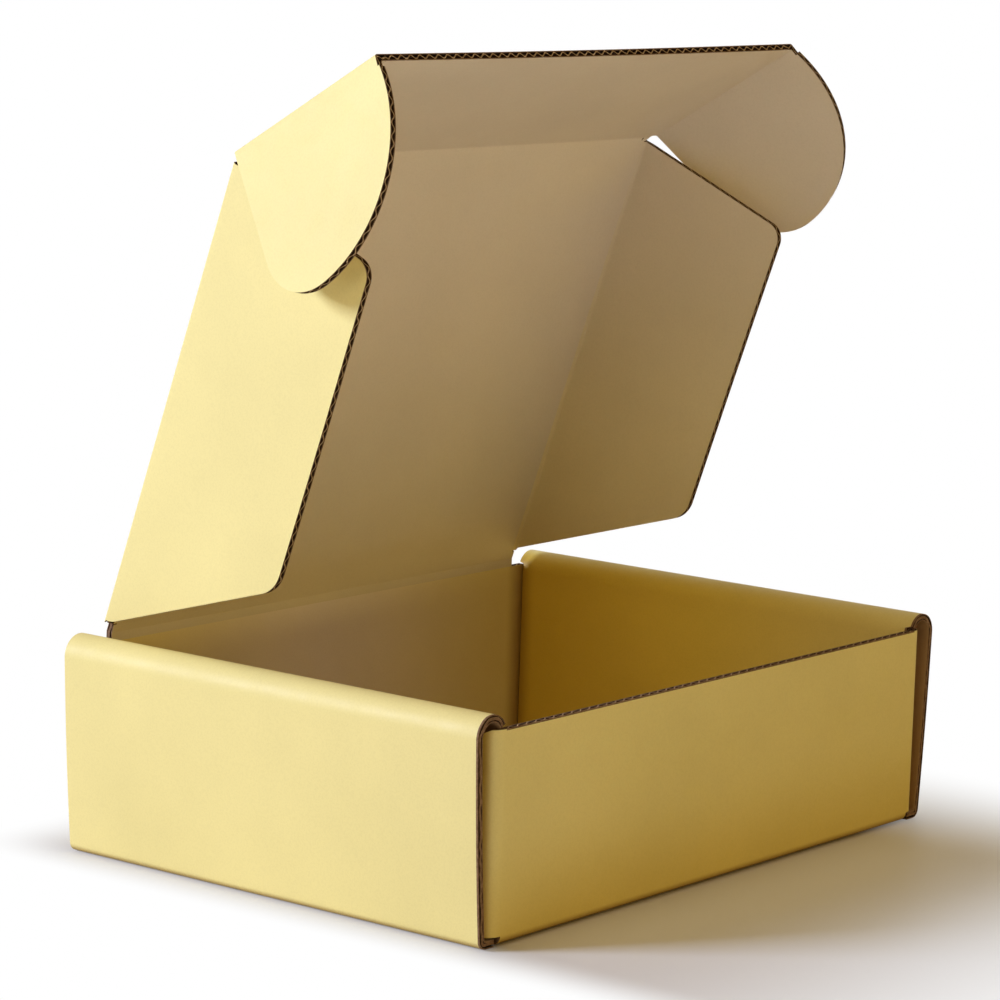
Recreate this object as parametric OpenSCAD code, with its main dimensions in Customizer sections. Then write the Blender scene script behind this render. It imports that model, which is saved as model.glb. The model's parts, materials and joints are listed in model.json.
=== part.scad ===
// Corrugated mailer box, open, folded from one die-cut sheet.
// Millimetres. The floor rests on z = 0, the front wall faces -Y, the lid is hinged at +Y.

/* [Tray] */
// Outer width across the rolled tops of the side walls
tray_w = 191.6; // [150:0.2:240]
// Outer depth from the front wall to the back wall
tray_d = 132; // [100:0.5:180]
// Height of the rolled side walls
tray_h = 55; // [40:0.5:80]
// How far each rolled top leans out over the edge of the floor
side_spread = 2.8; // [1.5:0.1:8]
// How far the front wall's top stays under the rolled tops
front_drop = 3.9; // [2.5:0.1:8]
// How far the lid's fold line stays under the rolled tops
hinge_drop = 1; // [0.5:0.1:3]
// Outer radius of the rolled top of a side wall
roll_r = 5.3; // [4:0.1:7]
// How far the rolled side walls stop short of the front and back faces
roll_short = 0.6; // [0.2:0.1:3]
// Radius of the relief hole at each corner of the floor
relief_r = 0.8; // [0.5:0.1:2]
// Length of the hidden corner flaps inside the side walls
corner_flap_l = 50; // [30:1:60]
// Length of one locking tab of an inner side panel
tab_l = 22; // [12:1:30]
// Distance of a locking tab's middle from the middle of the side
tab_at = 34; // [20:1:45]

/* [Board] */
// Thickness of the corrugated board
board_t = 1.8; // [1.2:0.1:3]
// Outer radius of a fold along the floor
fold_r = 2.4; // [2:0.1:4]
// Outer radius of the upright folds at the front and back corners
upright_r = 4.8; // [2.5:0.1:5]
// Distance from one flute to the next
flute_pitch = 3.4; // [2:0.1:6]
// Thickness of the flat liner on each face
liner_t = 0.3; // [0.15:0.05:0.5]
// Thickness of the wavy middle layer
wave_t = 0.25; // [0.15:0.05:0.5]
// Radius of the creased bead along a moving fold
crease_r = 0.65; // [0.4:0.05:0.9]
// Free gap between a creased bead and the board that turns on it
crease_gap = 0.3; // [0.15:0.05:0.5]
// Board left on the inner side of a crease, from the middle of the board
crease_in = 0.12; // [0.05:0.01:0.5]
// Width of the crushed band beside a crease
crease_band = 2.6; // [2:0.1:4]
// Free gap between layers of board that touch in the real box
layer_gap = 0.35; // [0.2:0.05:0.6]

/* [Lid] */
// Angle of the lid above its closed position
lid_open = 71; // [25:1:180]
// Gap between a side fold of the lid and the inner side panel of the tray
lid_side_gap = 3.3; // [2.6:0.1:6]
// Gap between the tuck fold and the front wall, with the lid closed
tuck_gap = 1.2; // [1.1:0.1:4]
// Relief at both ends of a side fold, beside the hinge
notch_l = 2.7; // [1:0.1:6]

/* [Side flaps] */
// Angle of the side flaps from the lid's plane
side_fold = 87.6; // [60:0.1:125]
// Gap under a side flap's free edge, with the lid closed
side_floor_gap = 3.2; // [0.5:0.1:20]
// How far the rear end of a side flap slants forward
side_rear = 34; // [10:0.5:50]
// How far the front end of a side flap slants back
side_front = 5.4; // [2:0.1:15]
// Gap between a side flap and the tuck fold
side_front_gap = 1.5; // [1.2:0.1:4]
// Radius of the rear free corner
side_rear_r = 8; // [2:0.5:15]
// Radius of the front free corner
side_front_r = 4.5; // [1:0.5:10]

/* [Tuck flap and ears] */
// Angle of the tuck flap from the lid's plane
tuck_fold = 40.5; // [0:0.5:82]
// Gap under the tuck flap's free edge, with the lid closed
tuck_floor_gap = 1; // [0.8:0.1:10]
// Gap between an ear's fold and the inner side panel of the tray
ear_side_gap = 1.2; // [1.1:0.1:2]
// How far the left ear spreads out past the side flap's angle
left_ear_spread = 11.6; // [1:0.1:30]
// How far the right ear spreads out past the side flap's angle
right_ear_spread = 26.6; // [1:0.1:30]
// Radius of the big round edge of an ear
ear_r = 35.2; // [20:0.1:45]
// Height of the middle of the big round edge above the ear's fold
ear_rise = 8.8; // [0:0.1:15]
// Radius of the ear's corner beside the lid
ear_corner_r = 15; // [4:0.5:18]
// Start of the ear's straight edge, from the tuck fold
ear_start = 1.5; // [1.2:0.1:5]
// Slant of the ear's straight edge in degrees
ear_slant = 5.7; // [0:0.1:15]

/* [Hidden] */
$fn = 72;
half_t = board_t / 2;
half_w = tray_w / 2 - side_spread;
half_d = tray_d / 2;
wall_in = tray_w / 2 - 2 * roll_r;
front_h = tray_h - front_drop;
hinge_z = tray_h - hinge_drop;
roll_x = wall_in + roll_r;
roll_z = tray_h - roll_r;
fold_x = half_w - fold_r;
reach = sqrt(pow(roll_x - fold_x, 2) + pow(roll_z - fold_r, 2));
lean = atan((roll_x - fold_x) / (roll_z - fold_r)) + asin((roll_r - fold_r) / reach);
roll_in = roll_r - board_t;
fold_in = fold_r - board_t;
side_y = half_d - roll_short;
panel_y = half_d - board_t - layer_gap;
flap_out = half_w - board_t - layer_gap;
flap_in = flap_out - board_t;
flap_foot = board_t + 0.5;
flap_top = roll_z + 0.4;
bend_x = flap_out - upright_r;
bend_y = half_d - upright_r;
roll_cut = roll_x - 2.2;
tab_lift = 0.2;
hinge_y = half_d - half_t;
turn_r = crease_r + crease_gap;
neck = 0.5 * half_t;
neck_l = 0.4;
turn_start = 0.3;
half_lid = wall_in - lid_side_gap;
half_tuck = wall_in - ear_side_gap;
lid_l = hinge_y + half_d - board_t - tuck_gap;
side_w = hinge_z - board_t - side_floor_gap;
tuck_l = hinge_z - board_t - tuck_floor_gap;
left_ear_fold = side_fold - left_ear_spread;
right_ear_fold = side_fold - right_ear_spread;
hinge_half = half_lid - 1.4;
ear_mid = tuck_l - sqrt(pow(ear_r, 2) - pow(ear_rise, 2));
ear_top = ear_mid + ear_r;
flute_depth = 14;
flute_start = 6;
past = 4 * ear_r;
slab = 3;
over = 1;
cross = 0.04;
cream = [0.95, 0.88, 0.62];
shade = [0.90, 0.82, 0.55];

// A flat block given by its two corners.
module block(low, high) {
  translate(low)
    cube(high - low);
}

// A bar along X with its section drawn in (y, z).
module bar_x(points, x0, x1) {
  translate([x0, 0, 0])
    rotate([90, 0, 90])
      linear_extrude(height = x1 - x0)
        polygon(points);
}

// A bar along Y with its section drawn in (x, z).
module bar_y(points, y0, y1) {
  translate([0, y1, 0])
    rotate([90, 0, 0])
      linear_extrude(height = y1 - y0)
        polygon(points);
}

// A rod along Y.
module rod_y(x, z, r, y0, y1) {
  translate([x, y1, z])
    rotate([90, 0, 0])
      cylinder(r = r, h = y1 - y0);
}

// A rod along X.
module rod_x(y, z, r, x0, x1) {
  translate([x0, y, z])
    rotate([0, 90, 0])
      cylinder(r = r, h = x1 - x0);
}

// Both sides of the box from the right one.
module both_sides() {
  children();
  mirror([1, 0, 0])
    children();
}

// Front and back of the box from the front one.
module both_ends() {
  children();
  mirror([0, 1, 0])
    children();
}

// Right side wall: fold at the floor, leaning outer panel, rolled top and inner panel.
module side_wall() {
  u = [cos(lean), -sin(lean)];
  far = 2 * roll_r;
  difference() {
    union() {
      intersection() {
        difference() {
          rod_y(fold_x, fold_r, fold_r, -side_y, side_y);
          rod_y(fold_x, fold_r, fold_in, -half_d, half_d);
        }
        bar_y([
          [fold_x, fold_r],
          [fold_x, -far],
          [fold_x + far, -far],
          [fold_x + far * u[0], fold_r + far * u[1]]
        ], -half_d, half_d);
      }
      bar_y([
        [fold_x + fold_in * u[0], fold_r + fold_in * u[1]],
        [fold_x + fold_r * u[0], fold_r + fold_r * u[1]],
        [roll_x + roll_r * u[0], roll_z + roll_r * u[1]],
        [roll_x + roll_in * u[0], roll_z + roll_in * u[1]]
      ], -side_y, side_y);
      difference() {
        rod_y(roll_x, roll_z, roll_r, -side_y, side_y);
        rod_y(roll_x, roll_z, roll_in, -half_d, half_d);
        bar_y([
          [roll_x, roll_z],
          [roll_x - far, roll_z],
          [roll_x - far, roll_z - far],
          [roll_x + far, roll_z - far],
          [roll_x + far * u[0], roll_z + far * u[1]]
        ], -half_d, half_d);
      }
      block([wall_in, -panel_y, board_t + layer_gap], [wall_in + board_t, panel_y, roll_z]);
      both_ends()
        block(
          [wall_in, -tab_at - tab_l / 2, tab_lift],
          [wall_in + board_t, -tab_at + tab_l / 2, board_t + layer_gap + over]
        );
    }
    both_ends()
      block([wall_in - over, -half_d - over, 0], [roll_cut, -panel_y, front_h + layer_gap]);
  }
}

// Slots in the floor that take the locking tabs of the right side.
module tab_slots() {
  both_ends()
    block(
      [wall_in - layer_gap, -tab_at - tab_l / 2 - layer_gap, -over],
      [wall_in + board_t + layer_gap, -tab_at + tab_l / 2 + layer_gap, board_t + over]
    );
}

// Front wall with its upright folds and the corner flaps inside the side walls.
module end_wall() {
  difference() {
    union() {
      block([-bend_x, -half_d, fold_r], [bend_x, -half_d + board_t, front_h]);
      both_sides() {
        intersection() {
          difference() {
            translate([bend_x, -bend_y, flap_foot])
              cylinder(r = upright_r, h = front_h - flap_foot);
            translate([bend_x, -bend_y, 0])
              cylinder(r = upright_r - board_t, h = front_h + over);
          }
          block([bend_x, -half_d - over, 0], [flap_out + over, -bend_y, tray_h]);
        }
        block([flap_in, -bend_y, flap_foot], [flap_out, -half_d + corner_flap_l, flap_top]);
      }
    }
    both_sides()
      block(
        [flap_in - over, -half_d + board_t, flap_top],
        [flap_out + over, -half_d + corner_flap_l + over, tray_h + over]
      );
  }
}

// Relief hole at a corner of the floor, between the side fold and the front fold.
module corner_relief() {
  relief_y = -half_d + 2 * board_t + layer_gap;
  translate([bend_x + relief_r, relief_y, -over])
    cylinder(r = relief_r, h = board_t + 2 * over);
  block([bend_x, -half_d - over, -over], [bend_x + 2 * relief_r, relief_y, board_t + over]);
}

// Floor fold of the front wall.
module end_fold() {
  intersection() {
    difference() {
      rod_x(-half_d + fold_r, fold_r, fold_r, -bend_x, bend_x);
      rod_x(-half_d + fold_r, fold_r, fold_in, -half_w, half_w);
    }
    block([-half_w, -half_d, 0], [half_w, -half_d + fold_r, fold_r]);
  }
}

// Ends of the flutes, seen on the top edge of the front wall.
module front_flutes() {
  n = floor((wall_in - flute_pitch) / flute_pitch);
  for (i = [-n : n]) {
    translate([i * flute_pitch, -half_d + half_t, front_h - flute_depth]) {
      linear_extrude(height = flute_depth + over)
        polygon(flute_section(1));
      translate([flute_pitch / 2, 0, 0])
        linear_extrude(height = flute_depth + over)
          polygon(flute_section(-1));
    }
  }
}

// Section of one hollow beside the wave: wide at the liner, narrow at the crest.
function flute_section(s) = [
  [-0.29 * flute_pitch, s * (half_t - liner_t)],
  [0.29 * flute_pitch, s * (half_t - liner_t)],
  [0.10 * flute_pitch, -s * (half_t - liner_t - wave_t)],
  [-0.10 * flute_pitch, -s * (half_t - liner_t - wave_t)]
];

module tray() {
  color(cream)
    union() {
      difference() {
        union() {
          block([-fold_x, -half_d + fold_r, 0], [fold_x, half_d - fold_r, board_t]);
          both_sides()
            block([bend_x, -side_y, 0], [fold_x, side_y, board_t]);
        }
        both_sides() {
          tab_slots();
          both_ends()
            corner_relief();
        }
      }
      both_sides()
        side_wall();
      both_ends()
        end_fold();
      difference() {
        end_wall();
        front_flutes();
      }
      mirror([0, 1, 0])
        end_wall();
      bar_x([
        [half_d - board_t, front_h - crease_band],
        [half_d, front_h - crease_band],
        [half_d, hinge_z - crease_band],
        [hinge_y + neck, hinge_z - neck_l],
        [hinge_y + neck, hinge_z],
        [hinge_y - neck, hinge_z],
        [hinge_y - neck, hinge_z - neck_l],
        [half_d - board_t, hinge_z - crease_band]
      ], -hinge_half, hinge_half);
      rod_x(hinge_y, hinge_z, crease_r, -hinge_half, hinge_half);
    }
}

// Places the lid's own frame: x across, y away from the hinge, z to the inside.
module in_lid() {
  translate([0, hinge_y, hinge_z])
    rotate([180 - lid_open, 0, 0])
      children();
}

// Frame of the right side flap: x from its fold to its free edge.
module in_side_flap() {
  in_lid()
    translate([half_lid, 0, 0])
      rotate([0, -side_fold, 0])
        children();
}

// Frame of the tuck flap: y away from the tuck fold.
module in_tuck() {
  in_lid()
    translate([0, lid_l, 0])
      rotate([tuck_fold, 0, 0])
        children();
}

// Frame of the right ear: x from its fold outward, y along the tuck flap.
module in_ear(fold) {
  in_tuck()
    translate([half_tuck, 0, 0])
      rotate([0, -fold, 0])
        children();
}

// Section of a board whose left edge turns on a crease at x = 0.
function turning(w) = [
  [turn_start, -neck],
  [crease_band, -half_t],
  [w, -half_t],
  [w, half_t],
  [crease_band, half_t],
  [turn_start, crease_in]
];

module lid_panel() {
  color(shade)
    in_lid()
      difference() {
        union() {
          intersection() {
            bar_y([
              [-half_lid, -neck], [-half_lid + crease_band, -half_t],
              [half_lid - crease_band, -half_t], [half_lid, -neck],
              [half_lid, crease_in], [half_lid - crease_band, half_t],
              [-half_lid + crease_band, half_t], [-half_lid, crease_in]
            ], 0, lid_l);
            bar_x([
              [turn_start, -neck], [crease_band, -half_t],
              [lid_l - crease_band, -half_t], [lid_l, -neck],
              [lid_l, crease_in], [lid_l - crease_band, half_t],
              [crease_band, half_t], [turn_start, crease_in]
            ], -half_lid, half_lid);
          }
          both_sides()
            rod_y(half_lid, 0, crease_r, notch_l, lid_l - side_front_gap);
          rod_x(lid_l, 0, crease_r, -half_lid, half_lid);
        }
        rod_x(0, 0, turn_r, -half_lid - over, half_lid + over);
        both_sides()
          translate([half_lid + crease_r, 0, -slab])
            cylinder(r = notch_l, h = 2 * slab);
      }
}

module side_flap() {
  y0 = notch_l;
  y1 = lid_l - side_front_gap;
  difference() {
    intersection() {
      bar_y(turning(side_w), 0, lid_l);
      translate([0, 0, -slab])
        linear_extrude(height = 2 * slab)
          polygon([[0, y0], [side_w, y0 + side_rear], [side_w, y1 - side_front], [0, y1]]);
      side_corners(y0, y1);
    }
    rod_y(0, 0, turn_r, 0, lid_l);
    side_flutes(y0, y1);
  }
}

// Hollows of the flutes, open at the free edge of a side flap.
module side_flutes(y0, y1) {
  first = ceil((y0 + side_rear + side_rear_r) / flute_pitch);
  last = floor((y1 - side_front - side_front_r) / flute_pitch);
  for (i = [first : last]) {
    translate([flute_start, i * flute_pitch, 0])
      rotate([90, 0, 90])
        linear_extrude(height = side_w)
          polygon(flute_section(1));
    translate([flute_start, (i + 0.5) * flute_pitch, 0])
      rotate([90, 0, 90])
        linear_extrude(height = side_w)
          polygon(flute_section(-1));
  }
}

// Trims the two free corners of a side flap to their round shape.
module side_corners(y0, y1) {
  rear = atan2(side_rear, side_w);
  front = atan2(side_front, side_w);
  rear_x = side_w - side_rear_r;
  rear_y = y0 + side_rear + side_rear_r * tan((90 - rear) / 2);
  front_x = side_w - side_front_r;
  front_y = y1 - side_front - side_front_r * tan((90 - front) / 2);
  translate([rear_x, rear_y, -slab])
    cylinder(r = side_rear_r, h = 2 * slab);
  translate([front_x, front_y, -slab])
    cylinder(r = side_front_r, h = 2 * slab);
  translate([0, 0, -slab])
    linear_extrude(height = 2 * slab)
      polygon([
        [-over, 0],
        [rear_x + side_rear_r * sin(rear), rear_y - side_rear_r * cos(rear)],
        [rear_x, rear_y],
        [side_w + over, rear_y],
        [side_w + over, front_y],
        [front_x, front_y],
        [front_x + side_front_r * sin(front), front_y + side_front_r * cos(front)],
        [-over, lid_l]
      ]);
}

module left_side_flap() {
  color(cream)
    mirror([1, 0, 0])
      in_side_flap()
        side_flap();
}

module right_side_flap() {
  color(cream)
    in_side_flap()
      side_flap();
}

// Hollows of the flutes, open at the free edge of the tuck flap.
module tuck_flutes() {
  n = floor((half_tuck - flute_start) / flute_pitch);
  for (i = [-n : n]) {
    translate([i * flute_pitch, tuck_l + over, 0])
      rotate([90, 0, 0])
        linear_extrude(height = tuck_l + over - flute_start)
          polygon(flute_section(1));
    translate([(i + 0.5) * flute_pitch, tuck_l + over, 0])
      rotate([90, 0, 0])
        linear_extrude(height = tuck_l + over - flute_start)
          polygon(flute_section(-1));
  }
}

module tuck_flap() {
  color(shade)
    in_tuck()
      difference() {
        union() {
          intersection() {
            bar_x([
              [turn_start, -neck], [crease_band, -half_t], [tuck_l, -half_t],
              [tuck_l, half_t], [crease_band, half_t], [turn_start, crease_in]
            ], -half_tuck, half_tuck);
            bar_y([
              [-half_tuck, -neck], [-half_tuck + crease_band, -half_t],
              [half_tuck - crease_band, -half_t], [half_tuck, -neck],
              [half_tuck, crease_in], [half_tuck - crease_band, half_t],
              [-half_tuck + crease_band, half_t], [-half_tuck, crease_in]
            ], 0, tuck_l);
          }
          both_sides()
            rod_y(half_tuck, 0, crease_r, ear_start, tuck_l);
        }
        rod_x(0, 0, turn_r, -half_tuck - over, half_tuck + over);
        tuck_flutes();
      }
}

// Outline of an ear: straight edge beside the lid, small round corner, big round edge.
module ear_outline() {
  c = cos(ear_slant);
  s = sin(ear_slant);
  far = ear_r - ear_corner_r;
  k = (ear_start + ear_corner_r / c) - ear_mid;
  m = s / c;
  qa = 1 + m * m;
  qb = k * m - ear_rise;
  qc = k * k + ear_rise * ear_rise - far * far;
  up = (-qb + sqrt(qb * qb - qa * qc)) / qa;
  side = ear_mid + k + m * up;
  big = [(up - ear_rise) / far, (side - ear_mid) / far];
  difference() {
    intersection() {
      translate([ear_rise, ear_mid, -slab])
        cylinder(r = ear_r, h = 2 * slab, $fn = 144);
      translate([0, 0, -slab])
        linear_extrude(height = 2 * slab)
          polygon([
            [0, ear_start],
            [past, ear_start + past * m],
            [past, ear_top + over],
            [0, ear_top + over]
          ]);
    }
    translate([0, 0, -slab - over])
      linear_extrude(height = 2 * (slab + over))
        polygon([
          [up + ear_corner_r * s, side - ear_corner_r * c],
          [ear_rise + ear_r * big[0], ear_mid + ear_r * big[1]],
          [ear_rise + 2 * ear_r * big[0], ear_mid + 2 * ear_r * big[1]],
          [up + 2 * ear_r, side - 2 * ear_r],
          [up + 2 * ear_corner_r * s, side - 2 * ear_corner_r * c]
        ]);
  }
  translate([up + cross * (big[0] + s), side + cross * (big[1] - c), -slab])
    cylinder(r = ear_corner_r, h = 2 * slab);
}

// Hollows of the flutes, open at the round edge of an ear.
module ear_flutes() {
  n = floor((ear_rise + ear_r - flute_start) / flute_pitch) - 1;
  for (i = [1 : n]) {
    y0 = ear_start + flute_start + i * flute_pitch * tan(ear_slant);
    translate([(i + 0.25) * flute_pitch, ear_top + over, 0])
      rotate([90, 0, 0])
        linear_extrude(height = ear_top + over - y0)
          polygon(flute_section(1));
    translate([(i + 0.75) * flute_pitch, ear_top + over, 0])
      rotate([90, 0, 0])
        linear_extrude(height = ear_top + over - y0)
          polygon(flute_section(-1));
  }
}

module ear() {
  difference() {
    intersection() {
      bar_y(turning(past), 0, ear_top + over);
      ear_outline();
    }
    rod_y(0, 0, turn_r, -over, ear_top + over);
    ear_flutes();
  }
}

module left_ear() {
  color(cream)
    mirror([1, 0, 0])
      in_ear(left_ear_fold)
        ear();
}

module right_ear() {
  color(cream)
    in_ear(right_ear_fold)
      ear();
}

tray();
lid_panel();
left_side_flap();
right_side_flap();
tuck_flap();
left_ear();
right_ear();
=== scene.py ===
import json
import math

import bmesh
import bpy
import numpy as np
from mathutils import Matrix, Vector


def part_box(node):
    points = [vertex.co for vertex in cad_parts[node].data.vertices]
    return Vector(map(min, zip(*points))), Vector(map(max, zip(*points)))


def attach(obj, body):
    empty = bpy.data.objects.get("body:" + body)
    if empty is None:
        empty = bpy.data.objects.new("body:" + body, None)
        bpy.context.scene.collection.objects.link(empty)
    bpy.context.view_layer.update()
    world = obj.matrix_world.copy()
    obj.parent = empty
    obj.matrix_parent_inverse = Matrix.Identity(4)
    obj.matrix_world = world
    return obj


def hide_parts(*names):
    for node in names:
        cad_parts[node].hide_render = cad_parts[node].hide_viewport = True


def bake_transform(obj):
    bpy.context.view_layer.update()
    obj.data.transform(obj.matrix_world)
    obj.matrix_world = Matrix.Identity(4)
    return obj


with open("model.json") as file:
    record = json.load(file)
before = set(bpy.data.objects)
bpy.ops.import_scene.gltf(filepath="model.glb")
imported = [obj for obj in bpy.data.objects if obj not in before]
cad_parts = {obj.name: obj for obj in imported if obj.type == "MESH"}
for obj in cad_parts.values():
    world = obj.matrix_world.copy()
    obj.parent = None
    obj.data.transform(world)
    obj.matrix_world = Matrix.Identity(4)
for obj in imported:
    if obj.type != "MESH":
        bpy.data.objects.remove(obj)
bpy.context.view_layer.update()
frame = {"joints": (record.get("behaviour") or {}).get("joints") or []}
joint = {j["name"]: j for j in frame["joints"]}

# Sizes in millimetres, angles in radians

MM = 0.001                      # one millimetre in metres
QUARTER = math.pi / 2

# The board and its raw edges
BOARD = 1.8                     # thickness
HALF = BOARD / 2
LINER = 0.26                    # thickness of each outer paper
MEDIUM = 0.36                   # thickness of the wavy paper between them
PITCH = 3.4                     # length of one flute
STEP = PITCH / 8                # distance of the points along a raw edge
FLUTE_DEPTH = 1.6               # depth of the hollows beside the flutes
WAVE_END = PITCH / 3            # over this length the waves come in at an edge's ends
EDGE_BAND = 0.35                # width of the last row of cells at a free edge
LAYER_GAP = 0.35                # gap between layers of board that lie together

# Torn edges: the middle paper is thick, uneven and pressed
TORN_MEDIUM = 2.1 * MEDIUM
TORN_STEP = 1.7                 # distance of its ups and downs
TORN_SPARE = 4                  # how far they are drawn past the edge's end
TORN_REACH = 0.9                # share of the room between the liners that they take
TORN_DEPTH = 0.7                # least depth of the hollows beside it
TORN_DEEPER = 0.9               # how much deeper they get
SIDE_PRESS = 0.4                # how far it is pressed to one liner at the side walls' ends

# Tray
ROLL_R = 5.3                    # outer radius of the rolled tops
FOLD_R = 2.4                    # outer radius of the folds at the floor
UPRIGHT_R = 4.8                 # outer radius of the upright corner folds
SIDE_SPREAD = 2.8               # how far a rolled top stands out past the floor
SIDE_SHORT = 0.6                # gap at each end of an outer side panel
ROLL_INSIDE = 2                 # angle on the roll where its inner side begins
ROLL_CLEAR = 0.6                # from the front wall's top up to where the roll is wider
SIDE_BULGE = 0.3                # crown of the outer side panels
SIDE_ROW = 4.6                  # distance of the points along a side wall
SIDE_ROWS = 12                  # their number each way from the middle
SIDE_END = 0.5                  # width of the last row of cells at a side wall's ends
SIDE_CLEAR = 1                  # least distance of such a point from a tab's or slot's edge
FRONT_DROP = 3.9                # how much lower the front wall is than the rolled tops
FLOOR_SEAM = 0.6                # from the inner side panels in to the floor's own mesh
RELIEF_R = 0.8                  # radius of the relief beside the upright folds
CORNER_FLAP_L = 50
CORNER_FLAP_RISE = 0.4          # top of a corner flap above the middle of the roll
CORNER_FLAP_FOOT = 0.5          # gap under a corner flap
CORNER_FLAP_START = 2           # from the upright fold to its first row of points
CORNER_STEP = (-0.75, 0.5)      # where on the upright fold its top steps down, and how long
CORNER_ROWS = [*np.linspace(0, 0.985, 12), 1]   # heights of its points, as shares
TAB_L = 22
TAB_AT = 34                     # from the tray's middle to a tab's middle
TAB_END = 0.2                   # height of the tabs' ends above the table

# Lid, side flaps, tuck flap and ears
CREASE = 2.4                    # half the width of the strip that bends at a moving fold
CREASE_FILLET = 0.45            # radius on the inside of such a fold
CREASE_TURNS = 9
CREASE_STEP = 3                 # distance of the points along it
HINGE_SHORT = 1.4               # gap at each end of the lid's hinge
LID_BOW = 0.5
LID_BOW_EDGE = 12               # over this width the bow comes in from the lid's edges
NOTCH = 2.7                     # from the hinge to the side flaps
SIDE_FOLD = math.radians(87.6)
SIDE_W = 49
SIDE_REAR = 34                  # length of the slanted rear end, along the lid
SIDE_FRONT = 5.4                # the same at the front end
SIDE_FRONT_GAP = 1.5            # from the side flaps to the tuck fold
SIDE_REAR_R = 8
SIDE_FRONT_R = 4.5
SIDE_BOW = 0.5
TUCK_L = 51.2
TUCK_BOW = 0.35
TUCK_NARROW = 1.3               # before the fold's middle the strip is as wide as the lid
LEFT_EAR_FOLD = math.radians(76)
RIGHT_EAR_FOLD = math.radians(61)
LEFT_EAR_CURL = 0.6
RIGHT_EAR_CURL = 1.6
EAR_W = 40
EAR_R = 35.2                    # radius of the big round edge
EAR_RISE = 8.8                  # its middle, from the fold
EAR_CORNER_R = 15               # radius of the corner beside the lid
EAR_START = 1.5                 # from the tuck fold to the ear
EAR_CLEAR = 0.2                 # the outline's points keep this far from the crease strip
EAR_SLANT = math.radians(5.7)   # slant of the straight edge beside the lid

X = np.array((1.0, 0.0, 0.0))
Y = np.array((0.0, 1.0, 0.0))
Z = np.array((0.0, 0.0, 1.0))


def joint_at(name):
    """A joint's place in millimetres."""
    return np.array(joint[name]["pos_m"]) / MM


# The tray's measures
half_top, half_d, tray_h = (round(float(v) / MM, 1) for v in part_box("tray")[1])
half_floor = half_top - SIDE_SPREAD
wall_in = half_top - 2 * ROLL_R
roll_x, roll_z = wall_in + ROLL_R, tray_h - ROLL_R
front_h = tray_h - FRONT_DROP
bend_x = half_floor - BOARD - LAYER_GAP - UPRIGHT_R
floor_edge = wall_in - FLOOR_SEAM
relief_y = half_d - 2 * BOARD - LAYER_GAP
slot_in, slot_out = wall_in - LAYER_GAP, wall_in + BOARD + LAYER_GAP
slot_half = TAB_L / 2 + LAYER_GAP
tab_top = BOARD + LAYER_GAP

# The lid's measures, and the directions along it and into the box
hinge_at, tuck_at = joint_at("lid_hinge"), joint_at("tuck_fold")
lid_along = np.array(joint["right_side_flap_fold"]["axis"])
tuck_along = np.array(joint["right_ear_fold"]["axis"])
lid_in, tuck_in = np.cross(X, lid_along), np.cross(X, tuck_along)
lid_l = float(np.linalg.norm(tuck_at - hinge_at))
half_lid = float(joint_at("right_side_flap_fold")[0])
half_tuck = float(joint_at("right_ear_fold")[0])
hinge_half = half_lid - HINGE_SHORT
lid_lean = math.acos(float(lid_along @ Z))
tuck_bend = math.acos(float(lid_along @ tuck_along))
side_rear, side_front = math.atan2(SIDE_REAR, SIDE_W), math.atan2(SIDE_FRONT, SIDE_W)


# Material nodes

def nodes_of(name):
    """A new material, its node tree and its shader."""
    m = bpy.data.materials.new(name)
    m.use_nodes = True
    return m, m.node_tree, m.node_tree.nodes["Principled BSDF"]


def add(tree, kind, **values):
    """A node with its properties or inputs set by name."""
    n = tree.nodes.new(kind)
    for key, value in values.items():
        if key in n.inputs:
            n.inputs[key].default_value = value
        else:
            setattr(n, key, value)
    return n


def feed(tree, socket, value):
    """Links a socket to another one, or sets it to a plain value."""
    if isinstance(value, bpy.types.NodeSocket):
        tree.links.new(value, socket)
    else:
        socket.default_value = value


def maths(tree, operation, *values):
    """The result of a maths node."""
    n = add(tree, "ShaderNodeMath", operation=operation)
    for socket, value in zip(n.inputs, values):
        feed(tree, socket, value)
    return n.outputs[0]


def colours(tree, factor, a, b, blend_type="MULTIPLY"):
    """Two colours mixed by a factor."""
    n = add(tree, "ShaderNodeMix", data_type="RGBA", blend_type=blend_type)
    for name, value in (("Factor", factor), ("A", a), ("B", b)):
        feed(tree, n.inputs[name], value)
    return n.outputs["Result"]


def shaders(tree, factor, a, b):
    """Two shaders mixed by a factor."""
    n = tree.nodes.new("ShaderNodeMixShader")
    for socket, value in zip(n.inputs, (factor, a, b)):
        tree.links.new(value, socket)
    return n.outputs[0]


def noise(tree, where, scale, detail=3.0, roughness=0.5):
    """Noise from 0 to 1, with its scale per metre."""
    n = add(tree, "ShaderNodeTexNoise", Scale=scale, Detail=detail, Roughness=roughness)
    tree.links.new(where, n.inputs["Vector"])
    return n.outputs["Fac"]


def ramp(tree, fac, stops):
    """A colour ramp through (place, colour) stops."""
    r = tree.nodes.new("ShaderNodeValToRGB")
    while len(r.color_ramp.elements) < len(stops):
        r.color_ramp.elements.new(0.5)
    for element, (place, colour) in zip(r.color_ramp.elements, stops):
        element.position = place
        element.color = (*colour, 1)
    tree.links.new(fac, r.inputs["Fac"])
    return r.outputs["Color"]


def bump(tree, height, strength, distance, below=None):
    """Bumps of a height in metres, on top of the bumps below where there are any."""
    n = add(tree, "ShaderNodeBump", Strength=strength, Distance=distance)
    tree.links.new(height, n.inputs["Height"])
    if below:
        tree.links.new(below, n.inputs["Normal"])
    return n.outputs["Normal"]


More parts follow.
